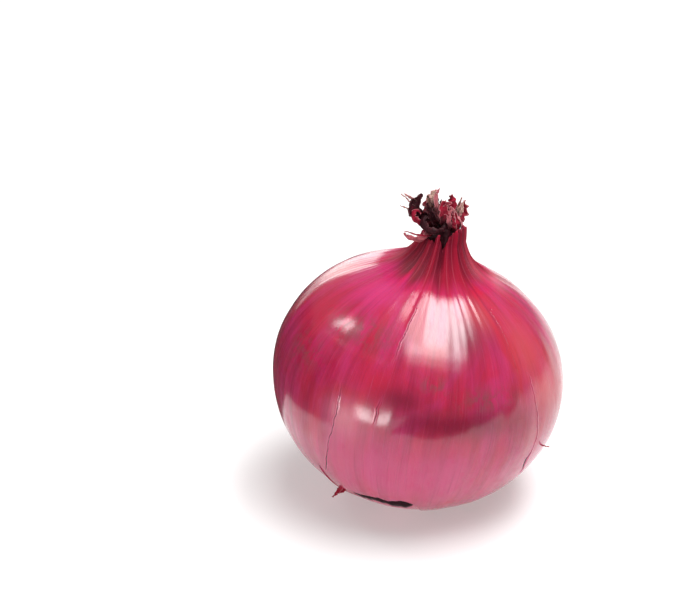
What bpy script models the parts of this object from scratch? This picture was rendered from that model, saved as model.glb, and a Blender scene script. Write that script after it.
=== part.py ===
"""A red onion standing on its root end, with a dried neck of torn leaf strips.

Metres, +Z up. The origin is the centre of the small flat spot that the bulb rests on.
The root end points straight down, and the crown and neck lean towards +X.
"""

import math
import random

import bmesh
import bpy
from mathutils import Matrix, Vector

MM = 0.001

# Bulb: an egg measured from the level of its widest girth
GIRTH_RADIUS = 0.040
CROWN_HEIGHT = 0.0333
KEEL_DEPTH = 0.0375
LEAN = math.radians(8.5)
FLAT_SPOT_CUT = 0.0011
GIRTH_LEVEL = KEEL_DEPTH - FLAT_SPOT_CUT
FLAT_SPOT_EDGE = math.acos(1 - FLAT_SPOT_CUT / KEEL_DEPTH)

# A list of waves round the axis holds size, count round the girth and phase for each wave
OUT_OF_ROUND = ((0.009, 2, 0.7), (0.006, 3, -1.1))
PLEATS = ((1.0, 17, 0.0), (0.5, 7, 2.0))
TEAR_RAGS = ((0.0005, 9, 0.4), (0.0003, 16, 0.0))

# Neck: the crown sweeps up into a pleated cone with an open mouth, and its skin stands up as a
# collar at the front right
NECK_RADIUS = 0.0058
NECK_RISE = 0.0082
NECK_FLARE = 0.0033
NECK_TOE = 0.021
PLEAT_DEPTH = 0.00034
PLEAT_DRIFT = 0.9
MOUTH_RADIUS = 0.0046
MOUTH_DEPTH = 0.0024
LIP = 0.0004
COLLAR_RISE = 0.0036
COLLAR_AZIMUTH = math.radians(-44)
COLLAR_WIDTH = math.radians(40)
COLLAR_SQUARENESS = 4

# Root end: a hollow under the bulb, from which a tear in the skin runs up at the front
HOLLOW_RADIUS = 0.0072
HOLLOW_DEPTH = 0.0044
HOLLOW_WALL = (0.8, 1.6)
SKIN_STEP = 0.0007
RIM_INSET = 0.97
RIM_BAND = math.radians(2)
TEAR_REACH = 0.0236
TEAR_AZIMUTH = math.radians(-106.5)
TEAR_WIDTH = math.radians(24)
TEAR_SQUARENESS = 8

GAP = 0.0003
AROUND = 72
BODY_RINGS = 21
NECK_RINGS = 11
HOLLOW_RINGS = 8

# Dry neck: a core in the neck's mouth, as shares of the mouth's radius and depth, and the
# strips that grow from it
CORE = ((0.0, -1.0), (0.93, -1.0), (0.93, 0.0), (0.98, 0.5), (0.86, 1.4), (0.6, 2.5), (0.3, 3.3),
        (0.0, 3.6))
CORE_SIDES = 20
STRIP_THICKNESS = 0.00065
STRIP_STEPS = 10
STRIP_REACHES = (-1.0, -0.33, 0.33, 1.0)
STRIP_FOOT = 0.75
STRIP_BELLY = 0.3
STRIP_TAPER = 0.8
TAPER_POWER = 5
TIGHTEST_ROLL = 0.0007
FIRST_ROLL = 0.4
CRINKLE = 0.00032
CRINKLES = 2.6
FRILL = 0.00045
FRILLS = 3.4
TORN_EDGE = 0.16

# Each strip: its path from root to tip, its width, how far it rolls up across its width, and
# the way its convex side faces at the root and at the tip. Paths are in millimetres from the
# middle of the mouth, with Z along the neck, and angles are in degrees.
STRIPS = {
    "left_roll": (
        ((-2.4, -0.8, 2.6), (-5.2, -1.4, 4.8), (-7.6, -2.0, 6.2), (-8.9, -2.2, 7.6), (-9.2, -2.2, 9.2),
         (-8.4, -2.0, 10.6), (-7.7, -1.7, 12.2)), 4.6, 140, 110, 60),
    "left_dark": (
        ((-1.2, -0.8, 3.4), (-3.2, -1.6, 5.4), (-5.0, -2.4, 8.0), (-6.2, -2.4, 10.0)),
        2.6, 120, 100, 70),
    "left_curl": (
        ((-2.2, -1.2, 2.6), (-4.6, -2.0, 4.1), (-7.0, -2.9, 4.3), (-8.7, -3.3, 5.1), (-9.5, -3.4, 6.6),
         (-8.7, -3.4, 7.6)), 2.2, 80, -100, -160),
    "left_hook": (
        ((-1.8, -1.4, 2.2), (-3.4, -3.2, 2.2), (-4.9, -4.4, 1.9), (-6.5, -4.8, 0.6), (-8.4, -4.2, 0.2),
         (-10.1, -3.6, 0.5), (-10.9, -3.4, 1.0)), 2.0, 110, -60, -110),
    "left_spike": (
        ((-8.4, -2.0, 9.4), (-9.6, -2.1, 10.4), (-11.2, -2.1, 11.0), (-12.6, -2.0, 11.5)),
        1.2, 60, 60, 90),
    "front_fold": (
        ((-3.4, -1.0, 6.2), (-5.8, -2.2, 6.7), (-6.7, -3.6, 5.2), (-5.3, -4.7, 3.6), (-3.2, -5.2, 3.3),
         (-1.5, -4.5, 3.5), (0.2, -2.6, 3.8)), 2.2, 90, -150, -60),
    "front_red": (
        ((0.2, -1.4, 3.4), (-0.8, -2.6, 6.0), (-1.5, -2.8, 8.6), (-2.1, -2.6, 10.4), (-1.2, -2.3, 11.3)),
        3.0, 140, 80, 110),
    "red_crest": (
        ((0.4, -0.8, 4.2), (0.0, -1.8, 7.1), (-0.8, -2.4, 9.8), (-0.9, -2.8, 11.0), (0.2, -2.8, 11.5)),
        1.8, 110, 100, 60),
    "tall_pale": (
        ((-1.4, -1.0, 3.4), (-2.7, -2.1, 6.2), (-3.5, -2.4, 9.4), (-4.1, -2.4, 12.0), (-4.0, -2.2, 13.5),
         (-3.4, -2.0, 14.7)), 1.5, 100, 40, 120),
    "tall_flake": (
        ((-3.3, -2.2, 8.8), (-4.4, -2.0, 11.2), (-4.7, -1.8, 12.8), (-3.9, -1.7, 14.0)),
        2.0, 70, 100, 60),
    "tall_brown": (
        ((-1.4, 0.0, 4.2), (-3.2, -0.4, 6.0), (-4.4, -0.6, 8.2), (-5.4, -0.2, 10.2), (-5.9, 0.2, 11.6)),
        3.0, 120, 120, 70),
    "tall_strand": (
        ((0.0, 0.0, 4.2), (-1.4, 0.2, 6.0), (-2.0, 0.4, 8.4), (-2.2, 0.8, 10.4)),
        1.4, 60, 90, 20),
    "right_rim": (
        ((2.0, -0.7, 2.8), (3.1, -1.3, 4.7), (3.8, -1.8, 5.7), (3.3, -2.1, 6.6), (2.3, -2.4, 8.0),
         (1.3, -2.6, 9.3), (-0.1, -2.8, 10.0)), 1.6, 100, -30, 60),
    "right_loop": (
        ((1.6, -1.4, 2.8), (2.1, -2.2, 4.7), (2.2, -2.9, 6.0), (1.6, -2.9, 7.6), (0.9, -2.7, 9.0)),
        2.2, 90, -80, -90),
    "right_fold": (
        ((0.4, -1.8, 2.8), (0.6, -2.9, 4.8), (0.3, -3.3, 6.4), (0.3, -3.1, 8.4), (0.7, -2.9, 10.0)),
        1.3, 90, -120, -60),
    "right_strand": (
        ((1.2, 0.4, 4.2), (2.2, 0.0, 6.4), (2.4, -0.2, 8.4), (2.7, -0.3, 10.2), (3.0, -0.2, 12.2)),
        1.2, 90, 90, 40),
    "right_wisp": (
        ((1.6, -0.6, 4.4), (2.5, -1.0, 6.8), (2.6, -1.2, 8.8), (3.1, -1.4, 10.2), (3.7, -1.2, 11.8)),
        1.2, 70, 60, 120),
    "right_tassel": (
        ((2.0, -0.8, 4.8), (2.9, -1.2, 6.8), (3.3, -1.4, 8.4), (3.4, -1.4, 9.8), (2.9, -1.2, 11.0)),
        1.2, 60, 90, 130),
    "right_hook": (
        ((2.2, 1.0, 1.8), (3.4, 2.8, 2.6), (4.0, 4.6, 2.6), (4.2, 6.0, 4.6)),
        2.2, 90, -90, -60),
    "back_fold": (
        ((2.0, 1.6, 4.6), (3.4, 4.2, 5.2), (1.4, 5.4, 4.0), (-1.4, 5.0, 4.0), (-2.4, 2.0, 4.6)),
        3.0, 90, 30, 130),
    "back_tall": (
        ((0.8, 1.2, 4.0), (1.6, 2.8, 7.0), (1.2, 3.2, 9.2), (0.4, 2.8, 11.2)),
        3.0, 120, -90, -60),
    "back_left": (
        ((-1.6, 1.4, 2.8), (-4.2, 3.2, 5.2), (-5.0, 4.0, 7.8), (-4.2, 3.8, 10.2)),
        3.4, 130, -60, -20),
    "back_right": (
        ((2.2, 1.6, 2.6), (3.8, 3.0, 4.8), (4.6, 3.6, 7.2), (4.0, 3.2, 9.8)),
        3.0, 120, -140, -160),
    "back_hook": (
        ((0.4, 2.4, 1.6), (0.8, 4.8, 2.6), (1.2, 7.0, 2.4), (1.6, 9.0, 3.8)),
        2.2, 70, 80, 100),
    "back_low": (
        ((-2.2, 1.6, 1.8), (-4.4, 3.0, 2.4), (-6.4, 4.2, 2.2), (-8.4, 5.0, 4.0)),
        2.4, 90, 60, 120),
}

# Loose points of skin on the bulb: azimuth, angle up from the root end, then a strip whose path
# runs down the skin along X and away from it along Z
FLAPS = {
    "flap_front_left": (
        -134.5, 45, ((0, 0, -0.9), (0.5, -0.2, 0.3), (0.9, -0.7, 1.7), (1.2, -1.3, 3.1)), 2.4, 60),
    "flap_right": (
        -30, 79, ((0, 0, -0.9), (0.1, 0.2, 0.3), (0.0, 0.6, 1.3), (-0.1, 1.1, 2.2)), 1.6, 60),
    "flap_back": (98, 42, ((0, 0, -0.9), (1.8, 0, -0.1), (3.4, -0.3, 0.9), (4.4, -0.6, 2.2)), 3.2, 70),
}
FLAP_FACING = (180, 180)

# Roots: a plate in the hollow, as shares of its radius and of its thickness under its top, and
# short dry roots that curl outwards under the bulb
PLATE = ((0.0, 1.36), (0.7, 1.27), (1.0, 1.0), (1.0, 0.55), (0.86, 0.18), (0.0, 0.0))
PLATE_RADIUS = 0.0054
PLATE_THICKNESS = 0.0011
PLATE_SIDES = 28
PLATE_LEVEL = HOLLOW_DEPTH - FLAT_SPOT_CUT - GAP
ROOTS = 30
ROOT_RADIUS = 0.00048
ROOT_TAPER = 0.45
ROOT_SIDES = 5
ROOT_STEPS = 5
ROOT_SPREAD = 0.8
ROOT_REACH = (0.55, 0.9)
ROOT_WANDER = 0.4
ROOT_DROP = 0.6
ROOT_TILT = (math.radians(20), math.radians(80))
ROOT_CURL = 1.4
ROOT_CLEARANCE = 0.00025
ROOT_LIMIT = 0.0125
ROOT_SEED = 4
GOLDEN_ANGLE = math.pi * (3 - math.sqrt(5))

# Material: name, colour and roughness
SKIN = ("skin", (0.52, 0.07, 0.17), 0.28)
DRY_LEAF = ("dry_leaf", (0.16, 0.02, 0.04), 0.6)
DRY_ROOT = ("dry_root", (0.46, 0.32, 0.17), 0.85)


def clear_scene():
    for thing in list(bpy.data.objects):
        bpy.data.objects.remove(thing)


# Small sums

def smooth(low, high, value):
    share = min(1.0, max(0.0, (value - low) / (high - low)))
    return share * share * (3 - 2 * share)


def mix(low, high, share):
    return low + (high - low) * share


def waves(sizes, azimuth):
    return sum(size * math.cos(count * azimuth + phase) for size, count, phase in sizes)


def angle_between(first, second):
    return math.atan2(math.sin(first - second), math.cos(first - second))


def azimuths(count):
    return [2 * math.pi * i / count for i in range(count)]


# Meshes

def material(name, colour, roughness):
    made = bpy.data.materials.new(name)
    made.use_nodes = True
    shader = made.node_tree.nodes["Principled BSDF"]
    shader.inputs["Base Color"].default_value = (*colour, 1.0)
    shader.inputs["Roughness"].default_value = roughness
    shader.inputs["Metallic"].default_value = 0.0
    return made


def loft(name, rings, blade=False):
    """A closed mesh through rings of points, where a ring of one point is a pole. On a blade the
    second half of each ring mirrors the first, and both are split into triangles alike."""
    points = []
    starts = []
    for ring in rings:
        starts.append(len(points))
        points.extend(ring)
    faces = []
    for low, high, start, following in zip(rings, rings[1:], starts, starts[1:]):
        sides = max(len(low), len(high))
        for i in range(sides):
            j = (i + 1) % sides
            if len(low) == 1:
                faces.append((start, following + j, following + i))
            elif len(high) == 1:
                faces.append((start + i, start + j, following))
            elif blade and i < sides / 2:
                faces.append((start + i, start + j, following + j))
                faces.append((start + i, following + j, following + i))
            elif blade:
                faces.append((start + i, start + j, following + i))
                faces.append((start + j, following + j, following + i))
            else:
                faces.append((start + i, start + j, following + j, following + i))
    if len(rings[0]) > 1:
        faces.append(tuple(reversed(range(len(rings[0])))))
    if len(rings[-1]) > 1:
        faces.append(tuple(starts[-1] + i for i in range(len(rings[-1]))))
    mesh = bpy.data.meshes.new(name)
    mesh.from_pydata([tuple(point) for point in points], [], faces)
    made = bpy.data.objects.new(name, mesh)
    bpy.context.scene.collection.objects.link(made)
    return made


def turned(name, frame, profile, sides):
    """A solid of revolution about the frame's Z from radius and height pairs, bottom first."""
    rings = []
    for radius, height in profile:
        turns = azimuths(sides) if radius > 0 else [0.0]
        rings.append([frame @ Vector((radius * math.cos(a), radius * math.sin(a), height)) for a in turns])
    return loft(name, rings)


def keep_outer_shell(mesh):
    """Fills a pocket that the pieces close off, and drops a loose scrap."""
    work = bmesh.new()
    work.from_mesh(mesh)
    left = set(work.faces)
    shells = []
    while left:
        shell = []
        found = [left.pop()]
        while found:
            face = found.pop()
            shell.append(face)
            for edge in face.edges:
                beside = left.intersection(edge.link_faces)
                left -= beside
                found.extend(beside)
        shells.append(shell)
    shells.sort(key=len)
    for shell in shells[:-1]:
        bmesh.ops.delete(work, geom=shell, context="FACES")
    work.to_mesh(mesh)
    work.free()


def join_all(core, pieces):
    """One solid from the core and the pieces that are sunk into it. The exact solver leaves
    edges shared by four faces where crinkled blades cross, so this is the manifold one."""
    group = bpy.data.collections.new(core.name + "_pieces")
    bpy.context.scene.collection.children.link(group)
    for piece in pieces:
        group.objects.link(piece)
        bpy.context.scene.collection.objects.unlink(piece)
    union = core.modifiers.new("join", "BOOLEAN")
    union.operation = "UNION"
    union.operand_type = "COLLECTION"
    union.collection = group
    union.solver = "MANIFOLD"
    bpy.context.view_layer.update()
    graph = bpy.context.evaluated_depsgraph_get()
    joined = bpy.data.meshes.new_from_object(core.evaluated_get(graph))
    core.modifiers.clear()
    keep_outer_shell(joined)
    core.data = joined
    for piece in pieces:
        bpy.data.objects.remove(piece)
    bpy.data.collections.remove(group)
    return core


def finish(thing, finish_of, crease):
    """Gives the object its material and shades it smooth up to the crease angle."""
    thing.data.materials.clear()
    thing.data.materials.append(material(*finish_of))
    thing.data.shade_smooth()
    thing.data.set_sharp_from_angle(angle=math.radians(crease))


# The bulb's surface

def placed(radius, height, azimuth, angle):
    """A point from the bulb's own axis to the part's frame. The root end is upright, and from
    the girth up the whole bulb leans. What would reach under the floor makes the flat spot."""
    point = Vector((radius * math.cos(azimuth), radius * math.sin(azimuth), height))
    point.rotate(Matrix.Rotation(LEAN * smooth(0, math.pi / 2, angle), 3, "Y"))
    point.z = max(point.z + GIRTH_LEVEL, 0.0)
    return point


def body_point(azimuth, angle, inset=0.0):
    """A point on the egg at an angle up from the root end, or as deep under it as inset says."""
    depth = KEEL_DEPTH if angle < math.pi / 2 else CROWN_HEIGHT
    radius = GIRTH_RADIUS * math.sin(angle) * (1 + waves(OUT_OF_ROUND, azimuth))
    height = -depth * math.cos(angle)
    shrink = 1 - inset / math.hypot(radius, height)
    return placed(radius * shrink, height * shrink, azimuth, angle)


def tear(azimuth):
    """Radius from the root end at which the skin stops, widest at the tear."""
    off = angle_between(azimuth, TEAR_AZIMUTH) / TEAR_WIDTH
    return HOLLOW_RADIUS + TEAR_REACH * math.exp(-abs(off) ** TEAR_SQUARENESS) + waves(TEAR_RAGS, azimuth)


def hollow_depth(radius):
    return mix(HOLLOW_DEPTH, SKIN_STEP, smooth(*HOLLOW_WALL, radius / HOLLOW_RADIUS))


def fold(azimuth):
    """How far the pleats stand out from the neck's mean radius."""
    return PLEAT_DEPTH * waves(PLEATS, azimuth + PLEAT_DRIFT * math.sin(2 * azimuth) / PLEATS[0][1])


def neck_point(radius, azimuth):
    """A point on the neck, which rises from the crown as its radius shrinks."""
    angle = math.pi - math.asin(radius / GIRTH_RADIUS)
    toe = math.exp(-(NECK_TOE - NECK_RADIUS) / NECK_FLARE)
    rise = NECK_RISE * (math.exp(-(radius - NECK_RADIUS) / NECK_FLARE) - toe) / (1 - toe)
    near = 1 - smooth(NECK_RADIUS, NECK_TOE, radius)
    lobed = radius * (1 + waves(OUT_OF_ROUND, azimuth) * (1 - near))
    return placed(lobed + near * fold(azimuth), -CROWN_HEIGHT * math.cos(angle) + rise, azimuth, angle)


def neck_frame():
    """The frame of the neck's mouth: origin in the middle of the lip, Z along the neck."""
    level = CROWN_HEIGHT * math.cos(math.asin(NECK_RADIUS / GIRTH_RADIUS)) + NECK_RISE
    turn = Matrix.Rotation(LEAN, 4, "Y")
    return Matrix.Translation((0, 0, GIRTH_LEVEL)) @ turn @ Matrix.Translation((0, 0, level))


def mouth_ring(radius, height, folded=0.0, raised=1.0):
    """A ring round the mouth, which takes up the shares given of the pleats and of the collar."""
    frame = neck_frame()
    ring = []
    for azimuth in azimuths(AROUND):
        off = angle_between(azimuth, COLLAR_AZIMUTH) / COLLAR_WIDTH
        collar = COLLAR_RISE * math.exp(-abs(off) ** COLLAR_SQUARENESS)
        reach = radius + folded * fold(azimuth)
        level = height + raised * collar
        ring.append(frame @ Vector((reach * math.cos(azimuth), reach * math.sin(azimuth), level)))
    return ring


def ring_angle(azimuth, step):
    """Ring 0 is the torn rim of the skin and ring 1 the edge of the flat spot. The others rise
    evenly from there to the toe of the neck."""
    rim = math.asin(tear(azimuth) / GIRTH_RADIUS)
    edge = max(FLAT_SPOT_EDGE, rim + RIM_BAND)
    top = math.pi - math.asin(NECK_TOE / GIRTH_RADIUS)
    return rim if step == 0 else mix(edge, top, (step - 1) / (BODY_RINGS - 2))


def bulb_rings():
    """The rings of the bulb, from the middle of the hollow out, up and into the neck's mouth."""
    around = azimuths(AROUND)
    rings = [[body_point(0.0, 0.0, HOLLOW_DEPTH)]]
    for step in range(1, HOLLOW_RINGS + 1):
        ring = []
        for azimuth in around:
            radius = tear(azimuth) * RIM_INSET * step / HOLLOW_RINGS
            ring.append(body_point(azimuth, math.asin(radius / GIRTH_RADIUS), hollow_depth(radius)))
        rings.append(ring)
    for step in range(BODY_RINGS):
        rings.append([body_point(azimuth, ring_angle(azimuth, step)) for azimuth in around])
    for step in range(1, NECK_RINGS + 1):
        radius = mix(NECK_TOE, NECK_RADIUS, step / NECK_RINGS)
        rings.append([neck_point(radius, azimuth) for azimuth in around])
    rings.append(mouth_ring(NECK_RADIUS, LIP / 2, folded=1.0))
    rings.append(mouth_ring((NECK_RADIUS + MOUTH_RADIUS) / 2, LIP, folded=0.5))
    rings.append(mouth_ring(MOUTH_RADIUS, 0.0))
    rings.append(mouth_ring(MOUTH_RADIUS, -MOUTH_DEPTH, raised=0.0))
    rings.append([neck_frame() @ Vector((0, 0, -MOUTH_DEPTH))])
    return rings


# Strips of dry skin

def along_path(points, share):
    """A point of the smooth curve through all the points."""
    place = share * (len(points) - 1)
    start = min(int(place), len(points) - 2)
    place -= start
    held = [points[0], *points, points[-1]]
    before, first, last, after = (Vector(point) for point in held[start:start + 4])
    bend = 2 * before - 5 * first + 4 * last - after
    twist = 3 * first - before - 3 * last + after
    return (2 * first + (last - before) * place + bend * place ** 2 + twist * place ** 3) / 2


def strip(name, frame, path, width, cup, facing):
    """A crinkled blade along a path, which rolls up across its width and narrows to its tip."""
    phase = path[-1][0] + path[-1][1]
    near = 0.2 / STRIP_STEPS
    rings = []
    for i in range(STRIP_STEPS + 1):
        share = i / STRIP_STEPS
        spot = along_path(path, share) * MM
        along = along_path(path, min(share + near, 1)) - along_path(path, max(share - near, 0))
        along.normalize()
        turn = math.radians(mix(*facing, share))
        across = along.cross(Vector((math.cos(turn), math.sin(turn), 0))).normalized()
        outward = across.cross(along)
        belly = STRIP_FOOT + STRIP_BELLY * math.sin(math.pi * share)
        torn = 1 + TORN_EDGE * math.sin(2 * math.pi * FRILLS * share + 2 * phase)
        spread = width * MM * belly * torn * (1 - STRIP_TAPER * share ** TAPER_POWER)
        rolled = min(math.radians(cup) * mix(FIRST_ROLL, 1, share), spread / TIGHTEST_ROLL)
        bow = spread / rolled
        crinkle = CRINKLE * share * math.sin(2 * math.pi * CRINKLES * share + phase)
        frill = FRILL * share * math.sin(2 * math.pi * FRILLS * share + phase)
        ring = []
        for face in (1, -1):
            for reach in STRIP_REACHES:
                side = face * reach
                level = bow + face * STRIP_THICKNESS / 2
                rise = level * math.cos(rolled / 2 * side) - bow + crinkle + frill * side ** 3
                offset = across * level * math.sin(rolled / 2 * side) + outward * rise
                ring.append(frame @ (spot + offset))
        rings.append(ring)
    return loft(name, rings, blade=True)


def neck_strip(name, path, width, cup, *facing):
    return strip(name, neck_frame(), path, width, cup, facing)


def flap(name, azimuth, angle, path, width, cup):
    azimuth = math.radians(azimuth)
    angle = math.radians(angle)
    skin = body_point(azimuth, angle)
    inward = body_point(azimuth, angle, GAP) - skin
    down = (body_point(azimuth, angle - GAP / GIRTH_RADIUS) - skin).normalized()
    side = down.cross(inward).normalized()
    frame = Matrix((down, side, down.cross(side))).transposed().to_4x4()
    return strip(name, Matrix.Translation(skin) @ frame, path, width, cup, FLAP_FACING)


# The three pieces

def bulb():
    body = loft("bulb", bulb_rings())
    flaps = [flap(name, *numbers) for name, numbers in FLAPS.items()]
    finish(join_all(body, flaps), SKIN, 50)


def dry_neck():
    profile = [(share * MOUTH_RADIUS, level * (MOUTH_DEPTH - GAP)) for share, level in CORE]
    core = turned("dry_neck", neck_frame(), profile, CORE_SIDES)
    strips = [neck_strip(name, *numbers) for name, numbers in STRIPS.items()]
    finish(join_all(core, strips), DRY_LEAF, 40)


def root(name, azimuth, start, reach, wander):
    """A thin root that leaves the plate downwards and curls outwards under the bulb."""
    low = ROOT_RADIUS + ROOT_CLEARANCE
    high = PLATE_LEVEL - PLATE_THICKNESS + ROOT_RADIUS
    rings = []
    for i in range(ROOT_STEPS + 1):
        share = i / ROOT_STEPS
        turn = azimuth + wander * share ** 2
        radius = start + reach * share ** ROOT_CURL
        dropped = smooth(0, ROOT_DROP, share)
        outward = Vector((math.cos(turn), math.sin(turn), 0))
        centre = outward * radius + Vector((0, 0, mix(high, low, dropped)))
        tilt = mix(*ROOT_TILT, dropped)
        along = outward * math.sin(tilt) - Vector((0, 0, math.cos(tilt)))
        side = Vector((-outward.y, outward.x, 0))
        other = along.cross(side)
        girth = ROOT_RADIUS * (1 - ROOT_TAPER * share)
        turns = azimuths(ROOT_SIDES)
        rings.append([centre + (side * math.cos(a) + other * math.sin(a)) * girth for a in turns])
    return loft(name, rings)


def root_tuft():
    draw = random.Random(ROOT_SEED)
    profile = [(share * PLATE_RADIUS, PLATE_LEVEL - depth * PLATE_THICKNESS) for share, depth in PLATE]
    plate = turned("root_tuft", Matrix.Identity(4), profile, PLATE_SIDES)
    roots = []
    for i in range(ROOTS):
        azimuth = i * GOLDEN_ANGLE
        start = PLATE_RADIUS * ROOT_SPREAD * math.sqrt((i + 0.5) / ROOTS)
        wander = draw.uniform(-ROOT_WANDER, ROOT_WANDER)
        passed = [tear(azimuth + wander * step / ROOT_STEPS) for step in range(ROOT_STEPS + 1)]
        edge = min(ROOT_LIMIT, *passed)
        reach = (edge - ROOT_RADIUS - 2 * GAP - start) * draw.uniform(*ROOT_REACH)
        roots.append(root(f"root_{i}", azimuth, start, reach, wander))
    finish(join_all(plate, roots), DRY_ROOT, 50)


clear_scene()
bulb()
dry_neck()
root_tuft()
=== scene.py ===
"""A red onion in its dry skin, dressed over its CAD frame: the torn and cracked outer skin, the
pleated neck with its tuft of dry leaf strips, and the root end, on a plain floor in soft light.
"""

import math

import bpy
import numpy as np
from mathutils import Matrix, Vector


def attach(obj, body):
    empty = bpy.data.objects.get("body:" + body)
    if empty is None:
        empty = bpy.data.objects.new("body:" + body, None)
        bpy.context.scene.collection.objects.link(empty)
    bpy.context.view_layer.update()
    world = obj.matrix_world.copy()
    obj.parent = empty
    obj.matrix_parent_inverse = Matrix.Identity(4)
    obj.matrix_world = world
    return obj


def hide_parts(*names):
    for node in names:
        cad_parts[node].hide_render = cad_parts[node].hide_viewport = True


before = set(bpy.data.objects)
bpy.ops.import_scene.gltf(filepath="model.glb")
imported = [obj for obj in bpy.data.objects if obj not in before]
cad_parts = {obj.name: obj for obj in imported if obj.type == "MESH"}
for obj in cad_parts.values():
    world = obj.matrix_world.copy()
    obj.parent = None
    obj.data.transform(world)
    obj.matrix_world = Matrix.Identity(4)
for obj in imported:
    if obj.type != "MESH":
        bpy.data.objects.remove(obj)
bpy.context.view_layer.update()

MM = 0.001

# The bulb's driving sizes, as the solids have them
GIRTH_RADIUS = 0.040
CROWN_HEIGHT = 0.0333
KEEL_DEPTH = 0.0375
LEAN = math.radians(8.5)
FLAT_SPOT_CUT = 0.0011
GIRTH_LEVEL = KEEL_DEPTH - FLAT_SPOT_CUT
FLAT_SPOT_EDGE = math.acos(1 - FLAT_SPOT_CUT / KEEL_DEPTH)
OUT_OF_ROUND = ((0.009, 2, 0.7), (0.006, 3, -1.1))
PLEATS = ((1.0, 17, 0.0), (0.5, 7, 2.0))
NECK_RADIUS = 0.0058
NECK_RISE = 0.0082
NECK_FLARE = 0.0033
NECK_TOE = 0.021
PLEAT_DEPTH = 0.00034
PLEAT_DRIFT = 0.9
COLLAR_RISE = 0.0036
COLLAR_AZIMUTH = -44
COLLAR_WIDTH = 40
MOUTH_RADIUS = 0.0046
MOUTH_DEPTH = 0.0024
HOLLOW_RADIUS = 0.0072
HOLLOW_DEPTH = 0.0044
HOLLOW_WALL = (0.8, 1.6)

# How deep the layer under the torn skin lies there, how much deeper in the slit, and the rags of
# the torn edge
UNDER_STEP = 0.0003
SLIT_DEPTH = 0.0003
TEAR_RAGS = ((0.0005, 9, 0.4), (0.0003, 16, 0.0))

# The torn edge of the outer skin in front: azimuth in degrees, then the edge's radius from the
# root end and the width of the gap that opens under it, in mm
TORN_EDGE = (
    (-142, 7.2, 0), (-134, 16, 0), (-128, 26.5, 0.5), (-126, 28.8, 2.4), (-124.5, 29.8, 3.4),
    (-123, 30.2, 4.0), (-118.5, 30.1, 4.2), (-113, 30.8, 3.8), (-110, 31.0, 4.0), (-106, 31.1, 4.6),
    (-103, 31.0, 5.3), (-99.5, 31.3, 6.1), (-96, 31.5, 6.5), (-93, 31.3, 5.6), (-91, 30.6, 3.2),
    (-89.5, 29.8, 0.4), (-87.5, 27.5, 0), (-82, 17, 0), (-74, 7.2, 0))

# The fine skin's grid, and how far above the torn edge its first rows reach
COLUMNS = 420
HOLLOW_ROWS = 42
RIM_ROWS = 3
RIM_BAND = math.radians(2)
BODY_ROWS = 132
NECK_ROWS = 44
COLLAR_ROWS = 10
LIP_ROWS = 6

# Cracks in the outer skin, which run down from the crown. Each has a depth in mm and the points
# that it passes: azimuth and angle up from the root end in degrees, and its half width there in mm.
CRACKS = (
    (0.32, ((-127.0, 108, 0.01), (-125.8, 103, 0.05), (-125.0, 98.5, 0.06), (-125.0, 91.8, 0.10),
            (-125.2, 87, 0.09), (-127.0, 78.2, 0.08), (-128.5, 70.5, 0.10), (-129.6, 67, 0.18),
            (-131.5, 62, 0.17), (-133.0, 58.8, 0.06), (-133.6, 56, 0.01))),
    (0.20, ((-108.6, 109, 0.01), (-109.0, 105.2, 0.03), (-109.5, 100.5, 0.07), (-109.5, 95.5, 0.06),
            (-109.5, 91.8, 0.02), (-109, 80, 0.01))),
    (0.07, ((-105, 158, 0.03), (-106.5, 143, 0.06), (-108, 130, 0.06), (-108.4, 120, 0.03))),
    (0.30, ((-44.0, 121, 0.01), (-42.5, 115.2, 0.04), (-42.0, 108.2, 0.03), (-40.5, 100.8, 0.05),
            (-39.0, 92.8, 0.07), (-37.2, 85, 0.06), (-37.6, 81.0, 0.02), (-38.0, 78.4, 0.08),
            (-38.8, 75.6, 0.45), (-38.5, 71.5, 0.36), (-36.5, 66.5, 0.08), (-35, 62, 0.01))),
    (0.24, ((18, 118, 0.02), (20, 105, 0.10), (17, 92, 0.05), (21, 80, 0.12), (19, 66, 0.16),
            (23, 55, 0.03))),
    (0.30, ((76, 128, 0.02), (74, 112, 0.06), (78, 97, 0.13), (75, 84, 0.16), (79, 70, 0.02))),
    (0.20, ((128, 112, 0.02), (131, 98, 0.10), (128, 85, 0.05), (132, 70, 0.12), (130, 60, 0.02))),
    (0.18, ((171, 100, 0.02), (174, 88, 0.08), (172, 76, 0.10), (176, 62, 0.02))),
)

# The crack that the skin creases along, by its place in the list, and how far the skin to its left
# falls there in mm
CREASED = 2
CREASE_FALL = 0.55

# How much closer the grid's columns stand at a crack, how near to it, and how far from it they
# still bend to follow it
CRACK_COLUMNS = 5.0
CRACK_BAND = math.radians(1.0)
CRACK_PULL = math.radians(9)

# The thinnest crack that the grid can hold, as a half width in mm
HAIRLINE = 0.11

# Angles in degrees up from the root end where the neck's dark red and its dull finish begin
NECK_EDGE = 162.8
MATTE_EDGE = 157.5

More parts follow.
